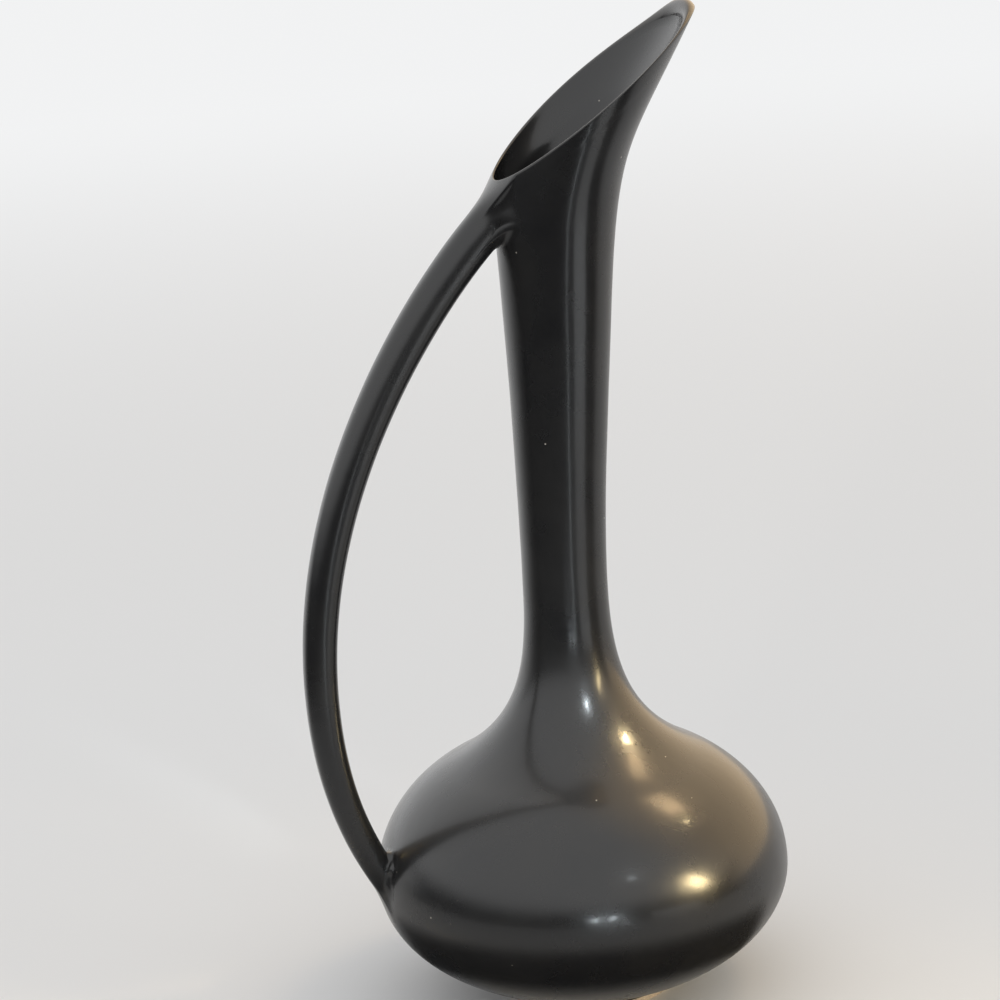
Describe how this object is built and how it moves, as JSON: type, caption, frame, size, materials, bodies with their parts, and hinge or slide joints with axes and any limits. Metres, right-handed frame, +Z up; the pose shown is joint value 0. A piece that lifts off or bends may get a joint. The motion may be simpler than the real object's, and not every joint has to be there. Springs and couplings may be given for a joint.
{
  "type": "ewer",
  "caption": "Tall black glazed ewer with a round low bulb, long slender neck, slanted leaf-shaped mouth and a bowed handle.",
  "frame": {"origin": "middle of the flat foot, on the surface that the ewer stands on", "axes": "+Z up along the axis of the bulb; +X towards the spout's tip, so the handle lies towards -X; the ewer is symmetric about the XZ plane"},
  "size_m": [0.2155, 0.187, 0.4429],
  "materials": {
    "black_glaze": "satin charcoal-black glaze with a soft sheen, very fine grain and a few pale pinholes; thinner and greyer along the lip",
    "bare_clay": "unglazed fired clay, matte and slightly gritty"
  },
  "bodies": {
    "root": {"foot": "bare_clay", "foot_slip": "black_glaze", "bulb": "black_glaze", "shoulder_slip": "black_glaze", "neck": "black_glaze", "spout_slip": "black_glaze", "spout": "black_glaze", "handle": "black_glaze", "lower_handle_slip": "black_glaze", "upper_handle_slip": "black_glaze"}
  },
  "joints": []
}
